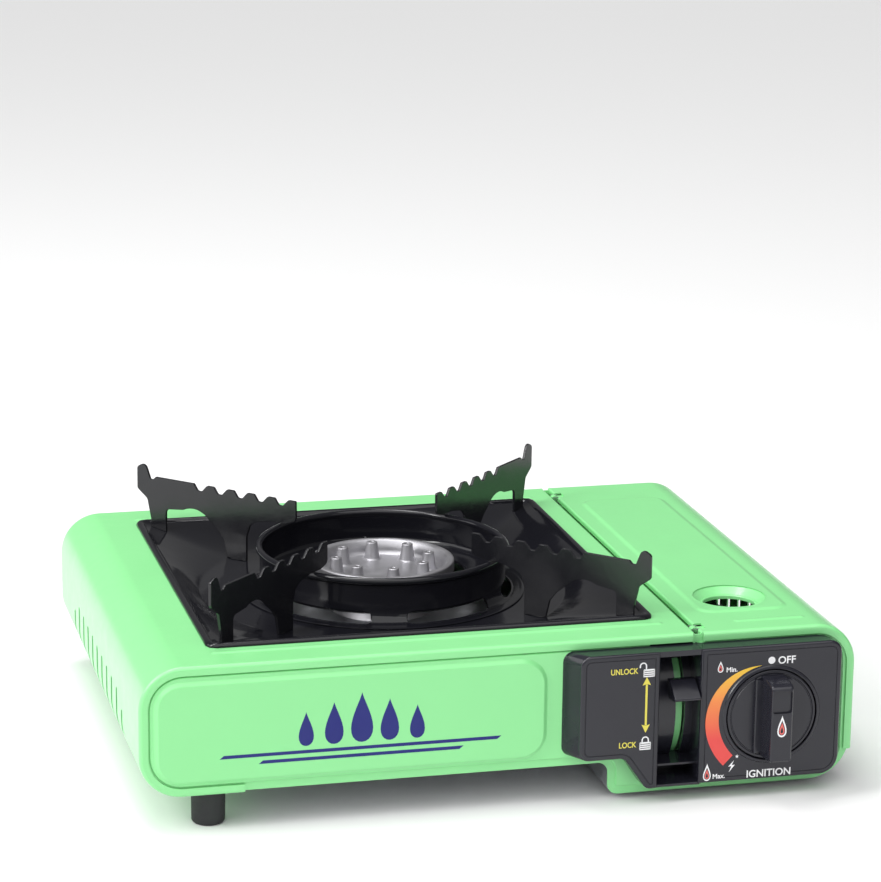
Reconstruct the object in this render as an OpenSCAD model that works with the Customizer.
// One-burner camping stove that runs on a butane cartridge.
// +X is right, +Y is back, +Z is up, seen by a person at the controls.
// The origin lies on the ground, at the centre of the whole stove's footprint.

/* [Body] */
// Width of the body
body_w = 342; // [336:1:350]
// Depth of the body, without the controls
body_d = 262; // [258:1:270]
// Height of the top plate above the ground
top_z = 80; // [79:1:82]
// Height of the shallow floor's underside, on the burner side
shallow_z = 18; // [17:1:19]
// Height of the deep floor's underside, on the fuel side
deep_z = 3; // [3:0.5:4]
// Radius of the long edges of the body
edge_r = 20; // [18:1:21]
// Thickness of the painted sheet steel
sheet = 0.8; // [0.6:0.1:0.9]
// Width of the folded rim round the front and the back
rim_w = 4.2; // [3.5:0.1:4.4]

/* [Burner] */
// Side of the square drip pan
pan_side = 214; // [212:1:216]
// Radius of the wind ring at its rolled edge
ring_r = 61; // [60:0.5:62]
// Height of the rolled edge's centre
ring_top_z = 92; // [90:0.5:93]
// Radius of the burner head
head_r = 35.5; // [30:0.5:36]
// Number of flame cones on the burner head
cone_count = 8; // [4:1:10]

/* [Pan supports] */
// Height of the line that a cooking pot stands on
support_z = 107; // [105:0.5:108]
// Number of teeth on each support
tooth_count = 5; // [3:1:5]
// Distance from one tooth to the next
tooth_pitch = 12.4; // [11:0.1:12.6]

/* [Controls] */
// How far the control panel stands out of the body
panel_proud = 10; // [9:0.5:11]
// Diameter of the knob's disc
knob_d = 43.6; // [40:0.2:44]
// How far the grip stands out of the control panel
grip_proud = 15; // [12:0.5:16]
// Angle of the lever's stroke
lever_stroke = 35; // [30:1:36]
// Angle of the knob from off to ignition
knob_stroke = 140; // [120:5:145]

/* [Fuel] */
// Diameter of the cartridge that the stove takes
cartridge_d = 67; // [66:0.5:67]
// Length of the cartridge behind the inlet
cartridge_l = 190; // [186:1:190]
// Diameter of the finger hole in the lid
finger_hole_d = 25; // [22:0.5:27]

/* [Hidden] */
$fn = 48;

paint = [0.50, 0.86, 0.53];
enamel = [0.07, 0.07, 0.08];
plastic = [0.16, 0.16, 0.18];
bare_steel = [0.70, 0.71, 0.73];
cast = [0.72, 0.71, 0.70];
brass = [0.80, 0.66, 0.35];
rubber = [0.08, 0.08, 0.08];

// How far surfaces of two bodies stay apart
gap = 0.3;
// How far a cutting shape runs past the surface it cuts
past = 1;

// The body's outer planes
half_w = body_w / 2;
front_y = (panel_proud + grip_proud - body_d) / 2;
back_y = front_y + body_d;
mid_y = (front_y + back_y) / 2;

// The lid's hinge axis, and the edges of cover and lid on each side of it
hinge_x = 93.2;
hinge_z = top_z - 2;
cover_edge_x = hinge_x - 2.4;
lid_edge_x = hinge_x + 0.7;
ledge_x = hinge_x + 4;
ledge_z = top_z - 5.4;
hinge_hub_r = 2;
hinge_pin_r = 1;
hinge_ys = [front_y + 10, back_y - 16];
lid_bottom_z = shallow_z - 1;

// The step in the floor between its shallow part and its deep part
step_x = 50;
step_r = 5;
floor_z = shallow_z + sheet + 0.2;
trough_x = half_w - sheet - 2 * gap;
lip_x = -half_w + 48.5;

// The burner's centre is the drip pan's centre
pan_x = -28.5;
pan_lip = 4;
pan_floor_z = top_z - 10;
pan_floor_r = 90;
pan_corner_r = 8;
pan_hole_r = 64;
ring_wall_r = ring_r - 1;
ring_roll_r = 1.8;
ring_floor_z = top_z - 4;
ring_hole_r = head_r + 6.5;
head_z = top_z - 6;

// The cartridge's axis is the knob's axis
knob_x = 126;
knob_z = 41;
panel_y = front_y - panel_proud;
inlet_y = front_y + 46;
inlet_r = 2.75;
inlet_depth = 9;
spindle_r = 3;
drum_y = front_y + 26;

// The lever's pivot, and the crank pin that drives the pusher
lever_x = 84;
lever_t = 2.4;
pivot_y = front_y + 40;
pivot_z = 41;
pivot_r = 2.5;
crank = 12;
channel_r = 38;
channel_x0 = 71;
channel_x1 = 91;
pusher_x = 88;
pusher_t = 1.2;
pusher_travel = 2 * crank * sin(lever_stroke / 2);
pusher_tab_y = inlet_y + 1.5 + cartridge_l + 4;
wall_x = 79.2;
wall_y0 = front_y + 16;

// The igniter
cam_y = front_y + 3.2;
cam_t = 4.6;
cam_r = 8;
cam_lift = 5;
piezo_x = 145;
piezo_l = 20;
piezo_w = 11;
plunger_r = 2;
electrode_r = head_r + 3.4;
electrode_z = 56;
wire_y = front_y + 30;
wire_low_z = 5.6;
wire_r = 1.3;

// The feet, and the screws that hold the panels to the floor's flanges
foot_x = -137;
foot_ys = [front_y + 15.5, back_y - 15.5];
low_foot_x = 145;
flange_h = 7;
rear_screws = [[-120, floor_z + 3.6], [25, floor_z + 3.6], [75, deep_z + 4.4], [140, deep_z + 4.4]];
thread_r = 1.4;
thread_fit = 0.05;

// The burner's bracket, and the tube that leads gas and air into it
bracket_z = 38;
bracket_t = 1.2;
tube_z = 50;
tube_r = 8;
tube_end_x = 52;
injector_x = tube_end_x + 1;

// The gas pipe, from the regulator's outlet to the injector
pipe_r = 2.3;
pipe_y = front_y + 20.5;
pipe_low_z = 6.6;
pipe_turn_x = 70;
outlet_x = 116;
outlet_z = 16;

// The pins that the pusher slides on, and the pusher's lower and upper edge
guide_z = 64;
guide_ys = [pivot_y + 30, back_y - 70];
guide_r = 2;
pusher_z0 = 46;
pusher_z1 = 68;

// Angles at rest of the lever's arm, above level, and of its crank, behind upright
arm_rise = 17;
crank_lean = lever_stroke / 2;

// The lid's hinge lugs and ears, and its finger hole
ear_t = 1.2;
lug_w = 3.6;
lid_hole_x = 124.5;
lid_hole_y = front_y + 50;

function arc_points(cx, cy, r, from, to, steps = 8) =
    [for (i = [0:steps]) let (a = from + (to - from) * i / steps) [cx + r * cos(a), cy + r * sin(a)]];

function rounded_box(x0, x1, y0, y1, r) = concat(
    arc_points(x1 - r, y1 - r, r, 0, 90),
    arc_points(x0 + r, y1 - r, r, 90, 180),
    arc_points(x0 + r, y0 + r, r, 180, 270),
    arc_points(x1 - r, y0 + r, r, 270, 360));

function reversed(points) = [for (i = [len(points) - 1:-1:0]) points[i]];

// A flat shape drawn in X and Z, from y back to y + depth
module plate_xz(points, y, depth)
    translate([0, y + depth, 0]) rotate([90, 0, 0]) linear_extrude(depth) polygon(points);

// A flat shape drawn in Y and Z, from x to x + depth
module plate_yz(points, x, depth)
    translate([x, 0, 0]) rotate([90, 0, 90]) linear_extrude(depth) polygon(points);

// A flat shape drawn in X and Y, from z up to z + depth
module plate_xy(points, z, depth)
    translate([0, 0, z]) linear_extrude(depth) polygon(points);

module block(x0, x1, y0, y1, z0, z1) translate([x0, y0, z0]) cube([x1 - x0, y1 - y0, z1 - z0]);

// Round bars along +X, +Y and +Z from a point
module bar_x(x, y, z, r, length) translate([x, y, z]) rotate([0, 90, 0]) cylinder(r = r, h = length);
module bar_y(x, y, z, r, length) translate([x, y, z]) rotate([-90, 0, 0]) cylinder(r = r, h = length);
module bar_z(x, y, z, r, length) translate([x, y, z]) cylinder(r = r, h = length);

// A screw that points along -Z: its head stands on z = 0
module screw(r, length, head_r, head_h) {
    translate([0, 0, -length]) cylinder(r = r, h = length + head_h / 2);
    difference() {
        cylinder(r = head_r, h = head_h);
        for (a = [0, 90]) rotate([0, 0, a]) translate([-head_r * 0.6, -0.5, head_h * 0.6])
            cube([head_r * 1.2, 1, head_h]);
    }
}

// Corners of a route rounded off, r along each leg, with quadratic curves
function unit(v) = v / norm(v);
function bend(a, b, c, r) = let (p = b + r * unit(a - b), q = b + r * unit(c - b))
    [for (i = [0:4]) let (t = i / 4) (1 - t) * (1 - t) * p + 2 * t * (1 - t) * b + t * t * q];
function rounded_route(route, r) = concat([route[0]],
    [for (i = [1:len(route) - 2]) each bend(route[i - 1], route[i], route[i + 1], r)],
    [route[len(route) - 1]]);

// A tube of radius r with 10 sides along a route
function route_direction(route, i) =
    unit(route[min(i + 1, len(route) - 1)] - route[max(i - 1, 0)]);
function square_to(v, t) = unit(v - (v * t) * t);
function tube_normals(route, i, n) = i == len(route) ? []
    : let (m = square_to(n, route_direction(route, i))) concat([m], tube_normals(route, i + 1, m));
module tube(route, r) {
    sides = 10;
    normals = tube_normals(route, 0, [0.31, 0.53, 0.79]);
    last = (len(route) - 1) * sides;
    points = [for (i = [0:len(route) - 1], k = [0:sides - 1])
        let (n = normals[i], b = cross(route_direction(route, i), n), a = 360 * k / sides)
        route[i] + r * cos(a) * n + r * sin(a) * b];
    walls = [for (i = [0:len(route) - 2], k = [0:sides - 1])
        let (j = (k + 1) % sides, p = i * sides)
        [p + k, p + sides + k, p + sides + j, p + j]];
    start_cap = [[for (k = [0:sides - 1]) k]];
    end_cap = [[for (k = [sides - 1:-1:0]) last + k]];
    polyhedron(points, concat(walls, start_cap, end_cap));
}

// The cover's outline in X and Z, inset from the outer surface
function cover_line(inset, right_x) = concat(
    [[right_x, top_z - inset]],
    arc_points(-half_w + edge_r, top_z - edge_r, edge_r - inset, 90, 180),
    arc_points(-half_w + edge_r, shallow_z + edge_r, edge_r - inset, 180, 270),
    [[lip_x, shallow_z + inset]]);
function cover_band(width) = concat(cover_line(0, cover_edge_x), reversed(cover_line(width, cover_edge_x)));

// The lid's outline in X and Z, inset from the outer surface
function lid_line(inset) = concat(
    [[lid_edge_x, top_z - inset]],
    arc_points(half_w - edge_r, top_z - edge_r, edge_r - inset, 90, 0),
    [[half_w - inset, lid_bottom_z]]);
function lid_band(width) = concat(lid_line(0), reversed(lid_line(width)));

// The floor's line in X and Z, from left to right, inset upwards from its underside
function floor_line(inset, left_x, right_z) = concat(
    [[left_x, floor_z + inset]],
    arc_points(step_x - step_r, floor_z - step_r, step_r + inset, 90, 0),
    arc_points(step_x + step_r + inset + inset, deep_z + step_r + inset, step_r, 180, 270),
    arc_points(trough_x - edge_r, deep_z + edge_r, edge_r - inset, 270, 360),
    [[trough_x - inset, right_z]]);

// The front and rear panels' outline, which nests inside the cover and the lid
panel_inset = sheet + gap;
panel_line = concat(
    arc_points(-half_w + edge_r, top_z - edge_r, edge_r - panel_inset, 90, 180),
    arc_points(-half_w + edge_r, shallow_z + edge_r, edge_r - panel_inset, 180, 270),
    arc_points(step_x - step_r, floor_z - step_r, step_r, 90, 0),
    arc_points(step_x + step_r, deep_z + step_r, step_r, 180, 270),
    arc_points(half_w - edge_r - panel_inset, deep_z + edge_r, edge_r, 270, 360),
    arc_points(half_w - edge_r - panel_inset, top_z - edge_r - panel_inset, edge_r, 0, 90));

// Upright vent slots through a side wall at x
module side_vents(x) {
    slots = 11;
    pitch = 15.8;
    slot_w = 4.4;
    for (i = [0:slots - 1]) {
        shorter = (i == 0 || i == slots - 1) ? 6 : 0;
        y = mid_y + (i - (slots - 1) / 2) * pitch;
        plate_yz(rounded_box(y - slot_w / 2, y + slot_w / 2, 26 + shorter, 50 - shorter, slot_w / 2 - 0.01),
            x - 12, 24);
    }
}

module top_cover() color(paint) {
    opening = pan_side / 2 - 3;
    difference() {
        union() {
            plate_xz(cover_band(sheet), front_y, body_d);
            plate_xz(cover_band(rim_w), front_y, sheet);
            plate_xz(cover_band(rim_w), back_y - sheet, sheet);
        }
        plate_xy(rounded_box(pan_x - opening, pan_x + opening, mid_y - opening, mid_y + opening, pan_corner_r),
            top_z - sheet - past, sheet + 2 * past);
        side_vents(-half_w);
        for (y = foot_ys) bar_z(foot_x, y, shallow_z - past, thread_r + thread_fit, 3);
    }
    // Ledge under the lid's inner edge
    block(cover_edge_x - sheet, cover_edge_x, front_y + 3, back_y - 3, ledge_z - sheet, top_z - sheet);
    block(cover_edge_x - sheet, ledge_x, front_y + 3, back_y - 3, ledge_z - sheet, ledge_z);
}

module front_panel() color(paint) {
    y = front_y + sheet + 0.4;
    logo_x = -68;
    logo_w = 176;
    difference() {
        union() {
            plate_xz(panel_line, y, sheet);
            plate_xz(rounded_box(logo_x - logo_w / 2, logo_x + logo_w / 2, 25, 72, 11), y - 1.2, 1.2);
        }
        plate_xz(rounded_box(logo_x - logo_w / 2 + 1, logo_x + logo_w / 2 - 1, 26, 71, 10), y - 0.4, 2);
        block(channel_x0 - 2.2, channel_x1 + 2.2, y - past, y + 3, 7.6, 75.6);
        bar_y(knob_x, y - past, knob_z, 15, 4);
        lid_swing_notch(y);
    }
}

// Room in a panel's top edge for the lid's edge as it swings open
module lid_swing_notch(y) block(hinge_x - 3.7, hinge_x + 1.3, y - past, y + 3, top_z - 1.8, top_z);

module rear_panel() color(paint) {
    y = back_y - 2 * sheet - 0.4;
    vent_w = 4.4;
    difference() {
        plate_xz(panel_line, y, sheet);
        for (i = [-9:9]) {
            x = pan_x + i * 10;
            plate_xz(rounded_box(x - vent_w / 2, x + vent_w / 2, 34, 58, vent_w / 2 - 0.01), y - past, 3);
        }
        for (p = rear_screws) bar_y(p[0], y - past, p[1], thread_r + thread_fit, 4);
        lid_swing_notch(y);
    }
}

module bottom_plate() color(bare_steel) {
    y0 = front_y + 2 * sheet + 0.5;
    depth = body_d - 4 * sheet - 1;
    left_x = -half_w + edge_r + 1;
    difference() {
        union() {
            plate_xz(concat(floor_line(0, left_x, 30), reversed(floor_line(sheet, left_x, 30))), y0, depth);
            // Flanges that the panels are screwed to
            for (y = [y0, y0 + depth - sheet])
                block(left_x + 1, step_x - step_r, y, y + sheet, floor_z, floor_z + flange_h);
            block(step_x + 2 * step_r, 142, y0 + depth - sheet, y0 + depth, deep_z, deep_z + flange_h + sheet);
        }
        for (p = rear_screws) bar_y(p[0], y0 + depth - sheet - past, p[1], thread_r + thread_fit, 4);
        for (y = foot_ys) bar_z(foot_x, y, floor_z - past, thread_r + thread_fit, 4);
        for (i = [-3:3]) {
            y = mid_y + i * 20;
            plate_xy(rounded_box(112, 140, y - 2.2, y + 2.2, 2.1), deep_z - past, sheet + 2 * past);
            plate_xy(rounded_box(pan_x - 60, pan_x - 20, y - 2.2, y + 2.2, 2.1), shallow_z, 3);
        }
    }
}

module partition_wall() color(bare_steel) difference() {
    block(wall_x, wall_x + sheet, wall_y0, back_y - 3 * sheet - 0.7, deep_z + sheet + 0.1, top_z - sheet - 0.1);
    bar_x(wall_x - past, pivot_y, pivot_z, pivot_r, 4);
    bar_x(wall_x - past, pipe_y, pipe_low_z, 4, 4);
    bar_x(wall_x - past, wire_y, wire_low_z, 3, 4);
    for (y = guide_ys) bar_x(wall_x - past, y, guide_z, guide_r, 4);
}

module reflector_plate() color(bare_steel) {
    half = 92;
    z = top_z - 20;
    difference() {
        plate_xy(rounded_box(pan_x - half, pan_x + half, mid_y - half, mid_y + half, 10), z, sheet);
        bar_z(pan_x, mid_y, z - past, 26, 4);
        bar_z(pan_x, mid_y + electrode_r, z - past, 4, 4);
    }
    for (side = [-1, 1]) {
        edge = pan_x + side * (half - sheet / 2);
        foot_level = side > 0 ? deep_z + sheet : floor_z + sheet;
        block(edge - sheet / 2, edge + sheet / 2, mid_y - 30, mid_y + 30, z, top_z - 12);
        for (y = [mid_y - 30, mid_y + 18]) block(edge - sheet / 2, edge + sheet / 2, y, y + 12, foot_level, z);
    }
}

module cartridge_cradle() color(bare_steel) {
    base_z = deep_z + sheet;
    y0 = inlet_y + 12;
    y1 = y0 + 160;
    block(knob_x - 20, knob_x + 20, y0, y1, base_z, base_z + sheet);
    for (y = [y0, y1 - 2]) difference() {
        block(knob_x - 20, knob_x + 20, y, y + 2, base_z, 12);
        bar_y(knob_x, y - past, knob_z, cartridge_d / 2 + 0.5, 4);
    }
}

// The front of the control panel's right half, drawn in X and Z
function knob_face(grow) = let (k = 1.75 * grow) concat(
    arc_points(155 + grow - k, 70 - k, 5 + k, 90, 0),
    arc_points(151 + grow, 18, 9, 360, 270),
    [[channel_x1, 9], [channel_x1, 75]]);

// The front of the control panel's left half
function guard_face(grow) = concat(
    [[channel_x0, 75]],
    arc_points(38 - grow, 70, 5, 90, 180),
    arc_points(38 - grow, 29, 5, 180, 270),
    [[channel_x0, 24]]);

// A box that tapers from its base on the body to its face
module bevelled_box(base, face) hull() {
    plate_xz(base, front_y + sheet, 0.4);
    plate_xz(face, panel_y, 0.4);
}

module control_panel() color(plastic) {
    wall = 1.8;
    bore_r = knob_d / 2 + 0.5;
    back = front_y + sheet + 0.4;
    channel_back = pivot_y - 26;
    channel_top = ledge_z - sheet - 0.4;
    difference() {
        union() {
            bevelled_box(knob_face(5.4), knob_face(0));
            bevelled_box(guard_face(6.5), guard_face(0));
            plate_xz([[channel_x0, 26], [54, 26], [64, 9], [channel_x0, 9]], panel_y, panel_proud + sheet + 0.4);
            bar_y(knob_x, panel_y - 0.9, knob_z, bore_r + 1.5, 4);
        }
        // The mouldings are hollow behind their faces
        difference() {
            block(knob_x - 33, knob_x + 36, panel_y + wall, back + past, 11, 73);
            bar_y(knob_x, panel_y, knob_z, bore_r + 1.6, 7);
        }
        block(36, channel_x0 - wall, panel_y + wall, back + past, 27, 73);
        bar_y(knob_x, panel_y - 2, knob_z, bore_r, panel_proud + 5);
    }
    // Curved floor of the channel that the lever swings in, its side walls and its two end pieces
    difference() {
        union() {
            bar_x(channel_x0 - wall, pivot_y, pivot_z, channel_r, channel_x1 - channel_x0 + 2 * wall);
            block(channel_x0 - wall, channel_x1 + wall, panel_y + wall, channel_back, 8, channel_top);
        }
        bar_x(channel_x0 - wall - past, pivot_y, pivot_z, channel_r - wall, 30);
        block(channel_x0 - wall - past, channel_x1 + wall + past, channel_back, pivot_y + 50, -20, 100);
        block(channel_x0 - wall - past, channel_x1 + wall + past, panel_y, channel_back + past, channel_top, 100);
        block(channel_x0 - wall - past, channel_x1 + wall + past, panel_y, channel_back + past, 0, 8);
        difference() {
            block(channel_x0, channel_x1, panel_y, channel_back - past, 9.2, channel_top - 1.2);
            bar_x(channel_x0 - wall, pivot_y, pivot_z, channel_r, 30);
        }
        block(lever_x - 1.1, lever_x + lever_t + 1.1, panel_y, pivot_y, 14, 66);
    }
    block(channel_x0 - past, channel_x1 + past, panel_y + 1, front_y + 2, channel_top - 1, 75);
    block(channel_x0 - past, channel_x1 + past, panel_y + 1, front_y + 2, 8, 9.2);
}

module tall_foot(y) color(rubber) difference() {
    translate([foot_x, y, 0]) rotate_extrude() polygon(concat(
        [[0, 0]],
        arc_points(5.4, 2, 2, 270, 360, 4),
        [[8, 14], [8, shallow_z], [0, shallow_z]]));
    bar_z(foot_x, y, -past, 3.6, 7);
    bar_z(foot_x, y, 5, thread_r + thread_fit, 20);
}

module low_foot(y) color(rubber) bar_z(low_foot_x, y, 0, 7, deep_z);

module foot_screws() color(bare_steel) for (y = foot_ys)
    translate([foot_x, y, 6]) rotate([180, 0, 0]) screw(thread_r, 16, 3.2, 2);

module rear_panel_screws() color(bare_steel)
    for (p = rear_screws)
        translate([p[0], back_y - sheet - 0.4, p[1]]) rotate([-90, 0, 0]) screw(thread_r, 4, 2.6, 1.1);

module burner_bracket() color(bare_steel) {
    base = floor_z + sheet;
    difference() {
        block(pan_x - 26, pan_x + 26, mid_y - 12, mid_y + 12, bracket_z, bracket_z + bracket_t);
        for (side = [-1, 1]) bar_z(pan_x + side * 18, mid_y, bracket_z - past, 1.6, 4);
    }
    for (side = [-1, 1]) {
        x = pan_x + side * 26;
        block(x - 0.6, x + 0.6, mid_y - 12, mid_y + 12, base, bracket_z + bracket_t);
        block(min(x, x + side * 10), max(x, x + side * 10), mid_y - 12, mid_y + 12, base, base + bracket_t);
    }
}

module burner_base() color(cast) {
    base = bracket_z + bracket_t;
    difference() {
        translate([pan_x, mid_y, 0]) rotate_extrude() polygon([[0, base], [22, base], [24, base + 3],
            [24, top_z - 22], [20, top_z - 17], [20, top_z - 10], [27, head_z - 1], [27, head_z], [0, head_z]]);
        translate([pan_x, mid_y, 0]) rotate_extrude() polygon([[0, base + 3], [20, base + 3],
            [20, top_z - 22], [17, top_z - 17], [17, head_z + past], [0, head_z + past]]);
        bar_x(pan_x, mid_y, tube_z, tube_r, 40);
        for (side = [-1, 1]) bar_z(pan_x + side * 18, mid_y, base - past, 1.3, 8);
    }
}

module burner_screws() color(bare_steel) for (side = [-1, 1])
    translate([pan_x + side * 18, mid_y, bracket_z]) rotate([180, 0, 0]) screw(1.3, 4, 2.8, 1.6);

module burner_head() color(cast) {
    dish_z = head_z + 4.5;
    rim_z = head_z + 12;
    cone_r = head_r * 0.69;
    difference() {
        union() {
            translate([pan_x, mid_y, 0]) rotate_extrude() polygon([[0, head_z], [16, head_z], [17, head_z + 0.8],
                [head_r - 3, head_z + 4.5], [head_r, rim_z - 1], [head_r, rim_z], [head_r - 2.4, rim_z],
                [head_r - 5, dish_z + 2.4], [18, dish_z], [0, dish_z + 1]]);
            for (i = [0:cone_count - 1]) rotate_about_burner(360 * (i + 0.5) / cone_count)
                translate([cone_r, 0, dish_z - 1]) cylinder(r1 = 3.6, r2 = 2.4, h = 10);
        }
        for (i = [0:cone_count - 1]) rotate_about_burner(360 * (i + 0.5) / cone_count)
            translate([cone_r, 0, dish_z + 3]) cylinder(r = 1.1, h = 10);
    }
}

module rotate_about_burner(angle) translate([pan_x, mid_y, 0]) rotate([0, 0, angle]) children();

module mixing_tube() color(bare_steel) difference() {
    union() {
        bar_x(pan_x + 20.5, mid_y, tube_z, tube_r - 0.05, tube_end_x - pan_x - 20.5);
        bar_x(tube_end_x - 8, mid_y, tube_z, tube_r + 1.5, 8);
    }
    bar_x(pan_x, mid_y, tube_z, tube_r - 1.2, 200);
    // Air port near the end
    bar_z(tube_end_x - 14, mid_y, tube_z, 4, 20);
}

pipe_route = rounded_route([[outlet_x, pipe_y, outlet_z], [outlet_x, pipe_y, pipe_low_z],
    [pipe_turn_x, pipe_y, pipe_low_z], [pipe_turn_x, pipe_y, tube_z], [pipe_turn_x, mid_y, tube_z],
    [injector_x + 12, mid_y, tube_z]], 3.9);

module injector() color(brass) difference() {
    union() {
        bar_x(injector_x + 3, mid_y, tube_z, 3.4, 9);
        translate([injector_x, mid_y, tube_z]) rotate([0, 90, 0]) cylinder(r = 5.5, h = 4, $fn = 6);
    }
    bar_x(injector_x - past, mid_y, tube_z, 0.9, 20);
}

module gas_pipe() color(bare_steel) tube(pipe_route, pipe_r);

module pipe_nuts() color(brass) {
    difference() {
        translate([injector_x + 7.2, mid_y, tube_z]) rotate([0, 90, 0]) cylinder(r = 6, h = 4.8, $fn = 6);
        bar_x(injector_x + 6, mid_y, tube_z, 3.4, 10);
    }
    difference() {
        bar_z(outlet_x, pipe_y, outlet_z + 0.2, 5, 4.8);
        bar_z(outlet_x, pipe_y, outlet_z - past, 2.8, 12);
    }
}

module regulator_bracket() color(bare_steel) difference() {
    union() {
        block(knob_x - 20, knob_x + 18, front_y + 8.6, front_y + 9.8, deep_z + sheet, knob_z + 18);
        block(knob_x - 20, outlet_x - 6, front_y + 8.6, front_y + 17, deep_z + sheet, deep_z + sheet + 1.2);
        // Shelf under the igniter
        block(knob_x + 17, piezo_x + piezo_l, front_y + 3, front_y + 9.8, knob_z - piezo_w / 2 - 1.2,
            knob_z - piezo_w / 2);
    }
    bar_y(knob_x, front_y, knob_z, 5, 20);
    for (side = [-1, 1]) bar_y(knob_x + side * 11, front_y, knob_z, 1.6, 20);
}

module regulator_body() color(cast) difference() {
    union() {
        bar_y(knob_x, front_y + 9.8, knob_z, 14, 24);
        bar_y(knob_x, front_y + 30, knob_z, 10, inlet_y - front_y - 30);
        bar_z(knob_x, drum_y, knob_z + 8, 15.5, 11);
        block(outlet_x - 5, outlet_x + 5, pipe_y - 5, pipe_y + 5, outlet_z + 5, knob_z - 4);
        // Key that fits the notch in the cartridge's collar
        block(knob_x - 1.5, knob_x + 1.5, front_y + 34, inlet_y, knob_z + 8, knob_z + 14);
    }
    bar_y(knob_x, inlet_y - inlet_depth, knob_z, inlet_r, inlet_depth + past);
    bar_y(knob_x, front_y, knob_z, spindle_r + 0.05, 24);
    for (side = [-1, 1]) bar_y(knob_x + side * 11, front_y, knob_z, 1.3, 17);
    bar_z(outlet_x, pipe_y, outlet_z, 2.8, 12);
}

module regulator_cap() color(bare_steel) difference() {
    translate([knob_x, drum_y, knob_z + 19]) rotate_extrude() polygon([[0, 0], [17.5, 0], [17.5, 1.6],
        [15, 2.2], [13, 5], [4, 6], [0, 6]]);
    bar_z(knob_x, drum_y, knob_z + 22, 1, 10);
}

module regulator_screws() color(bare_steel) for (side = [-1, 1])
    translate([knob_x + side * 11, front_y + 8.6, knob_z]) rotate([90, 0, 0]) screw(1.3, 7, 2.2, 0.4);

module inlet_seal() color(rubber) difference() {
    bar_y(knob_x, inlet_y, knob_z, 6, 1.5);
    bar_y(knob_x, inlet_y - past, knob_z, inlet_r + 0.4, 5);
}

module control_knob() color(plastic) {
    face_y = panel_y - 0.6;
    grip_w = 11.2;
    grip_l = 39.5;
    boss_r = 6;
    boss_l = cam_y - 0.2 - face_y;
    difference() {
        union() {
            bar_y(knob_x, face_y, knob_z, knob_d / 2, 8);
            bar_y(knob_x, face_y, knob_z, boss_r, boss_l);
            plate_yz([[face_y + 1, knob_z - grip_l / 2], [panel_y - grip_proud, knob_z - grip_l / 2 + 0.8],
                [panel_y - grip_proud, knob_z + grip_l / 2 - 3], [panel_y - grip_proud + 4, knob_z + grip_l / 2 - 0.8],
                [face_y + 1, knob_z + grip_l / 2]], knob_x - grip_w / 2, grip_w);
        }
        difference() {
            bar_y(knob_x, face_y + 2, knob_z, knob_d / 2 - 2, 8);
            bar_y(knob_x, face_y, knob_z, boss_r, boss_l);
        }
        bar_y(knob_x, face_y + 4, knob_z, spindle_r, 20);
    }
}

module valve_spindle() color(brass) difference() {
    bar_y(knob_x, panel_y + 3.4, knob_z, spindle_r, front_y + 22 - panel_y - 3.4);
    // Flat that keys the knob and the cam
    block(knob_x - 5, knob_x + 5, panel_y + 2, front_y + 1, knob_z + 2.2, knob_z + 5);
}

module knob_clip() color(bare_steel) block(knob_x - 1.2, knob_x + 1.2, panel_y + 5, front_y - 1,
    knob_z + 2.2, knob_z + 2.7);

// The cam's radius grows steadily over the knob's stroke, against the direction of turning
module igniter_cam() color(plastic) difference() {
    plate_xz([for (i = [0:35]) let (a = knob_stroke * i / 35, r = cam_r + cam_lift * i / 35)
        [knob_x + r * cos(-a), knob_z + r * sin(-a)],
        for (i = [0:20]) let (a = -knob_stroke - 2 - (358 - knob_stroke) * i / 20)
        [knob_x + cam_r * cos(a), knob_z + cam_r * sin(a)]], cam_y, cam_t);
    bar_y(knob_x, cam_y - past, knob_z, spindle_r, cam_t + 2 * past);
}

module piezo_body() color("dimgray") difference() {
    block(piezo_x, piezo_x + piezo_l, cam_y - 0.2, cam_y - 0.2 + piezo_w, knob_z - piezo_w / 2, knob_z + piezo_w / 2);
    bar_x(piezo_x - past, cam_y + cam_t / 2, knob_z, plunger_r + 0.05, 16);
}

module piezo_plunger() color("white")
    bar_x(knob_x + cam_r + gap, cam_y + cam_t / 2, knob_z, plunger_r, piezo_x + 8 - knob_x - cam_r - gap);

wire_route = rounded_route([[piezo_x + 15, cam_y + piezo_w - 0.2, knob_z], [piezo_x + 15, wire_y, knob_z],
    [piezo_x + 8, wire_y, wire_low_z], [72, wire_y, wire_low_z], [60, wire_y + 6, 26],
    [20, mid_y + 50, 24], [pan_x, mid_y + electrode_r, 28], [pan_x, mid_y + electrode_r, electrode_z]], 5);

module ignition_wire() color("white") tube(wire_route, wire_r);

module electrode_bracket() color(bare_steel) difference() {
    union() {
        block(pan_x - 5, pan_x + 5, mid_y + 24.2, mid_y + electrode_r + 5, electrode_z + 1, electrode_z + 2);
        block(pan_x - 5, pan_x + 5, mid_y + 24.2, mid_y + 25.2, electrode_z - 9, electrode_z + 2);
    }
    bar_z(pan_x, mid_y + electrode_r, electrode_z, 2.5, 4);
}

module electrode_insulator() color("ivory") difference() {
    bar_z(pan_x, mid_y + electrode_r, electrode_z, 2.5, 20);
    bar_z(pan_x, mid_y + electrode_r, electrode_z - past, 0.6, 30);
}

module electrode_tip() color(bare_steel) {
    top = head_z + 11.5;
    bar_z(pan_x, mid_y + electrode_r, electrode_z + 6, 0.6, top - electrode_z - 6);
    translate([pan_x, mid_y + electrode_r, top - 0.4]) rotate([90, 0, 0]) cylinder(r = 0.6, h = 2.4);
}

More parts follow.
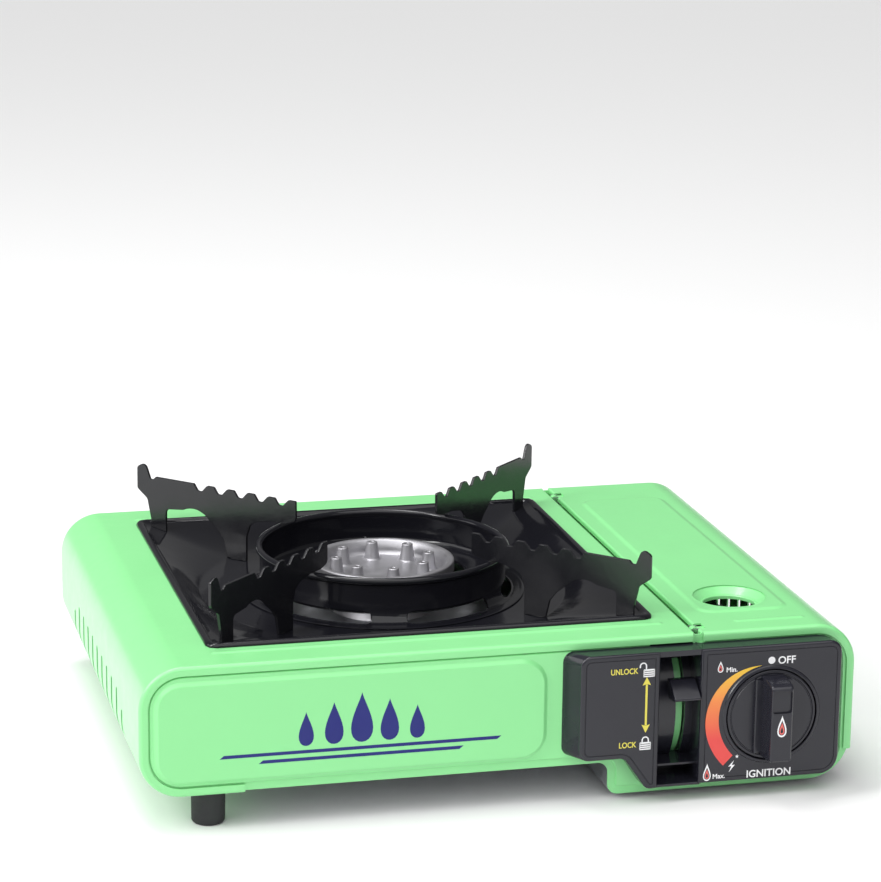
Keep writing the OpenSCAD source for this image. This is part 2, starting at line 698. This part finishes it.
module lever_pin() color(bare_steel) {
    bar_x(wall_x, pivot_y, pivot_z, pivot_r, lever_x + lever_t + 1.4 - wall_x);
    difference() {
        bar_x(wall_x + sheet, pivot_y, pivot_z, 4.5, lever_x - wall_x - sheet - gap);
        bar_x(wall_x, pivot_y, pivot_z, pivot_r - 0.1, 20);
    }
}

module lever_clip() color(bare_steel) difference() {
    bar_x(lever_x + lever_t + gap, pivot_y, pivot_z, 4.2, 0.8);
    bar_x(lever_x, pivot_y, pivot_z, pivot_r, 10);
}

module pusher_guide_pins() color(bare_steel) for (y = guide_ys) {
    bar_x(wall_x, y, guide_z, guide_r, pusher_x + pusher_t + gap - wall_x);
    bar_x(wall_x + sheet, y, guide_z, 4, pusher_x - gap - wall_x - sheet);
    bar_x(pusher_x + pusher_t + gap, y, guide_z, 3.6, 1);
}

module lock_lever() color(bare_steel) {
    arm = pivot_y - panel_y - 4;
    shield_r = 34.5;
    difference() {
        union() {
            bar_x(lever_x, pivot_y, pivot_z, 7, lever_t);
            translate([lever_x, pivot_y, pivot_z]) rotate([-arm_rise, 0, 0])
                translate([0, -arm, -3.5]) cube([lever_t, arm, 7]);
            translate([lever_x, pivot_y, pivot_z]) rotate([-crank_lean, 0, 0])
                translate([0, -3.5, 0]) cube([lever_t, 7, crank + 3]);
            bar_x(lever_x, pivot_y + crank * sin(crank_lean), pivot_z + crank * cos(crank_lean), 2,
                pusher_x + pusher_t + 0.8 - lever_x);
            // Curved shield that keeps the panel's slot closed
            plate_yz(concat(arc_points(pivot_y, pivot_z, shield_r, 139, 225, 16),
                reversed(arc_points(pivot_y, pivot_z, shield_r - 1.2, 139, 225, 16))), lever_x - 0.8, lever_t + 1.6);
        }
        bar_x(lever_x - past, pivot_y, pivot_z, pivot_r + 0.05, 6);
    }
}

// Finger tab on the lever's end, drawn level and then raised with the arm
module lever_tab() color(plastic) translate([0, pivot_y, pivot_z]) rotate([-arm_rise, 0, 0]) difference() {
    reach = pivot_y - panel_y;
    plate_yz([[-reach - 2, -6], [-reach - 2, 0], [-reach + 3, 6], [-reach + 7, 6], [-reach + 7, -6]],
        channel_x0 + 7, channel_x1 - channel_x0 - 7.6);
    translate([lever_x, -reach + 4, -3.5]) cube([lever_t, 20, 7]);
}

module cartridge_pusher() color(bare_steel) {
    y0 = pivot_y - 10;
    crank_y = pivot_y + crank * sin(crank_lean);
    crank_z = pivot_z + crank * cos(crank_lean);
    slot_r = 2.3;
    difference() {
        block(pusher_x, pusher_x + pusher_t, y0, pusher_tab_y + 1.2, pusher_z0, pusher_z1);
        plate_yz(rounded_box(crank_y - slot_r, crank_y + slot_r, crank_z - 4, crank_z + 4, slot_r - 0.01),
            pusher_x - past, 4);
        for (y = guide_ys)
            plate_yz(rounded_box(y - slot_r, y + slot_r + pusher_travel + gap, guide_z - slot_r, guide_z + slot_r,
                slot_r - 0.01), pusher_x - past, 4);
    }
    block(pusher_x, knob_x + 14, pusher_tab_y, pusher_tab_y + 1.2, 30, 56);
}

module hinge_ears() color(bare_steel) for (y = hinge_ys) {
    for (side = [-1, 1]) {
        y0 = y + side * (lug_w / 2 + gap + ear_t / 2) - ear_t / 2;
        difference() {
            block(hinge_x - 1.7, hinge_x + 2, y0, y0 + ear_t, ledge_z, hinge_z + 1.5);
            bar_y(hinge_x, y0 - past, hinge_z, hinge_pin_r, 4);
        }
    }
}

module lid_hinge_pins() color(bare_steel) for (y = hinge_ys)
    bar_y(hinge_x, y - lug_w / 2 - gap - ear_t, hinge_z, hinge_pin_r, lug_w + 2 * gap + 2 * ear_t);

module fuel_lid() color(paint) {
    notch = lug_w / 2 + gap + ear_t + gap;
    difference() {
        union() {
            plate_xz(lid_band(sheet), front_y, body_d);
            plate_xz(lid_band(rim_w), front_y, sheet);
            plate_xz(lid_band(rim_w), back_y - sheet, sheet);
            bar_z(lid_hole_x, lid_hole_y, top_z - 0.1, finger_hole_d / 2 + 6, 0.7);
        }
        bar_z(lid_hole_x, lid_hole_y, top_z - 5, finger_hole_d / 2, 10);
        side_vents(half_w);
        for (y = hinge_ys)
            block(lid_edge_x - past, lid_edge_x + 4, y - notch, y + notch, top_z - 2, top_z + past);
    }
    for (y = hinge_ys) difference() {
        union() {
            bar_y(hinge_x, y - lug_w / 2, hinge_z, hinge_hub_r, lug_w);
            block(hinge_x, lid_edge_x + 7, y - lug_w / 2, y + lug_w / 2, hinge_z + 0.4, top_z - sheet);
        }
        bar_y(hinge_x, y - lug_w, hinge_z, hinge_pin_r + 0.06, 2 * lug_w);
    }
}

// Height of the drip pan's upper surface along a diagonal, at distance r from its centre
pan_corner_reach = (pan_side / 2 - pan_lip) * sqrt(2) - pan_corner_r * (sqrt(2) - 1);
function pan_surface(r) = pan_floor_z + sheet
    + max(0, r - pan_floor_r) / (pan_corner_reach - pan_floor_r) * (top_z - pan_floor_z);

module pan_bowl(lift) hull() {
    half = pan_side / 2 - pan_lip;
    plate_xy(rounded_box(pan_x - half, pan_x + half, mid_y - half, mid_y + half, pan_corner_r), top_z + lift, 0.05);
    translate([pan_x, mid_y, pan_floor_z + lift]) cylinder(r = pan_floor_r, h = 0.05, $fn = 48);
}

module drip_pan() color(enamel) {
    outer = pan_side / 2;
    inner = outer - pan_lip - 1;
    difference() {
        union() {
            difference() {
                pan_bowl(0);
                pan_bowl(sheet);
            }
            plate_xy(rounded_box(pan_x - outer, pan_x + outer, mid_y - outer, mid_y + outer, pan_corner_r + 2),
                top_z + 0.05, sheet);
            plate_xy(rounded_box(pan_x - outer, pan_x + outer, mid_y - outer, mid_y + outer, pan_corner_r + 2),
                top_z + sheet, 1.2);
        }
        plate_xy(rounded_box(pan_x - inner, pan_x + inner, mid_y - inner, mid_y + inner, pan_corner_r),
            top_z + 0.05, 4);
        bar_z(pan_x, mid_y, pan_floor_z - 5, pan_hole_r, 20);
    }
}

module wind_ring() color(enamel) {
    foot_z = pan_floor_z + sheet + 0.05;
    windows = 6;
    window_angle = 45;
    difference() {
        translate([pan_x, mid_y, 0]) rotate_extrude($fn = 96) polygon(concat(
            [[ring_hole_r, ring_floor_z + 1], [ring_hole_r, ring_floor_z + 1 + sheet],
                [ring_wall_r, ring_floor_z + sheet], [ring_wall_r, ring_top_z - 1.5]],
            arc_points(ring_r, ring_top_z, ring_roll_r, 205, -75, 12),
            [[ring_wall_r + sheet, ring_top_z - 2], [ring_wall_r + sheet, ring_floor_z],
                [pan_hole_r + 2, foot_z + sheet], [pan_hole_r + 6, foot_z + sheet], [pan_hole_r + 6, foot_z],
                [pan_hole_r + 1, foot_z], [ring_wall_r, ring_floor_z]]));
        for (i = [0:windows - 1]) rotate_about_burner(-100 + 360 / windows * (i + 0.5) - window_angle / 2)
            rotate_extrude(angle = window_angle) translate([ring_wall_r - 3, foot_z + sheet])
                square([12, ring_floor_z - foot_z - sheet - 0.3]);
    }
}

// Side view of a pan support: distance from the burner's centre, then height
tooth_start = 51;
teeth = [for (i = [0:tooth_count - 1]) let (r = tooth_start + i * tooth_pitch) each
    [[r, support_z], [r + 4.8, support_z], [r + 8.6, support_z - 3.6], [r + 10, support_z - 3.6]]];
ring_rest_z = ring_top_z + ring_roll_r + 0.1;
support_line = concat(
    teeth,
    [[tooth_start + tooth_count * tooth_pitch, support_z], [137.6, support_z], [139, support_z - 1.6],
        [141, support_z - 1.6], [142.6, support_z + 3.4]],
    arc_points(146, support_z + 3.2, 2.4, 150, 60, 4),
    [[149, support_z + 3], [149, support_z - 7], [144.6, support_z - 11], [143, support_z - 15], [140.4, 84]],
    [[140.4, pan_surface(140.4) + 0.1], [131, pan_surface(131) + 0.1], [131, 90]],
    arc_points(112, 86, 10, 40, 150, 6),
    [[95, 84], [93, pan_surface(93) + 0.1], [pan_floor_r, pan_surface(pan_floor_r) + 0.1],
        [81, pan_surface(81) + 0.1], [81, 85], [76, 91], [66, ring_rest_z], [57, ring_rest_z], [tooth_start, 99]]);

module pan_support(angle) color(enamel) rotate_about_burner(angle)
    translate([0, 0.6, 0]) rotate([90, 0, 0]) linear_extrude(1.2) polygon(support_line);

top_cover();
front_panel();
rear_panel();
bottom_plate();
partition_wall();
reflector_plate();
cartridge_cradle();
control_panel();
tall_foot(foot_ys[0]);  // foot_front_left
tall_foot(foot_ys[1]);  // foot_rear_left
low_foot(foot_ys[0]);  // foot_front_right
low_foot(foot_ys[1]);  // foot_rear_right
foot_screws();
rear_panel_screws();
burner_bracket();
burner_base();
burner_head();
burner_screws();
mixing_tube();
injector();
gas_pipe();
pipe_nuts();
regulator_bracket();
regulator_body();
regulator_cap();
regulator_screws();
inlet_seal();
piezo_body();
ignition_wire();
electrode_bracket();
electrode_insulator();
electrode_tip();
lever_pin();
lever_clip();
pusher_guide_pins();
hinge_ears();
lid_hinge_pins();
fuel_lid();
drip_pan();
wind_ring();
pan_support(225);  // pan_support_front_left
pan_support(315);  // pan_support_front_right
pan_support(135);  // pan_support_rear_left
pan_support(45);  // pan_support_rear_right
control_knob();
valve_spindle();
knob_clip();
igniter_cam();
piezo_plunger();
lock_lever();
lever_tab();
cartridge_pusher();
